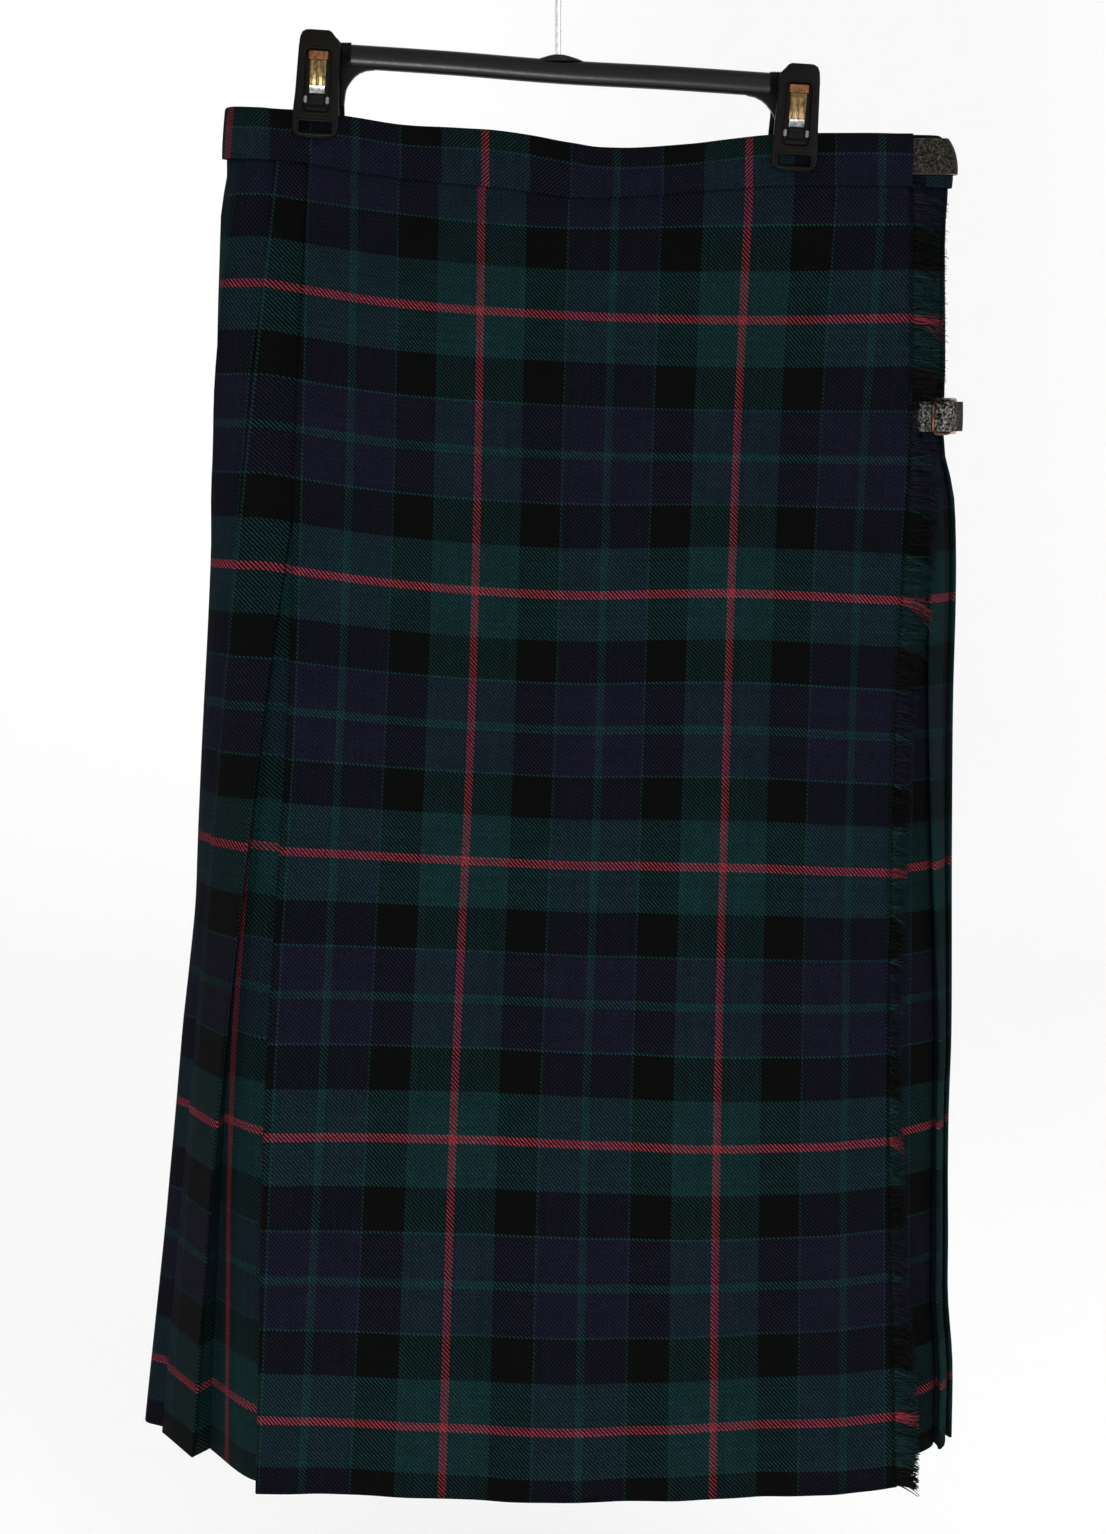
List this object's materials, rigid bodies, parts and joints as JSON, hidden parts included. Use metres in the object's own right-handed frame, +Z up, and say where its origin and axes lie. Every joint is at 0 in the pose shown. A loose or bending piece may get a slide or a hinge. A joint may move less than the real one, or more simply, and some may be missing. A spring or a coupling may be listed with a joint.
{
  "type": "pleated kilt on a clip hanger",
  "caption": "Long dark tartan kilt with a flat fringed front apron, knife-pleated back and leather buckle straps, hung by its waistband from a skirt hanger with two sprung clips.",
  "frame": {"origin": "top of the inside of the hanger's hook, where a rod carries it", "axes": "+Z up; the front apron faces -Y; +X is the viewer's right, the side where the straps fasten"},
  "size_m": [0.4766, 0.1371, 0.8743],
  "materials": {
    "tartan_wool": "woven worsted wool, 2/2 twill, tartan of navy, black and bottle green with thin red lines",
    "leather": "grained dark brown-black strap leather, pale cut edges",
    "buckle_brass": "antique, brushed and darkened",
    "hanger_plastic": "moulded black, slightly glossy on its edges",
    "hook_wire": "polished wire",
    "spring_strip": "spring strip, bronze tinted"
  },
  "bodies": {
    "root": {"apron_fringe": "tartan_wool", "band_back": "tartan_wool", "band_over_apron": "tartan_wool", "band_under_apron": "tartan_wool", "chape_lower": "leather", "chape_upper": "leather", "clip_left_back": "hanger_plastic", "clip_left_front": "hanger_plastic", "clip_left_hinge": "hanger_plastic", "clip_left_spring": "spring_strip", "clip_right_back": "hanger_plastic", "clip_right_front": "hanger_plastic", "clip_right_hinge": "hanger_plastic", "clip_right_spring": "spring_strip", "frame_lower": "buckle_brass", "frame_upper": "buckle_brass", "hanger_boss": "hanger_plastic", "hanger_hook": "hook_wire", "hanger_rail": "hanger_plastic", "keeper_lower": "leather", "keeper_upper": "leather", "over_apron": "tartan_wool", "pleated_back": "tartan_wool", "prong_lower": "buckle_brass", "prong_upper": "buckle_brass", "strap_lower": "leather", "strap_upper": "leather", "under_apron": "tartan_wool"}
  },
  "joints": []
}
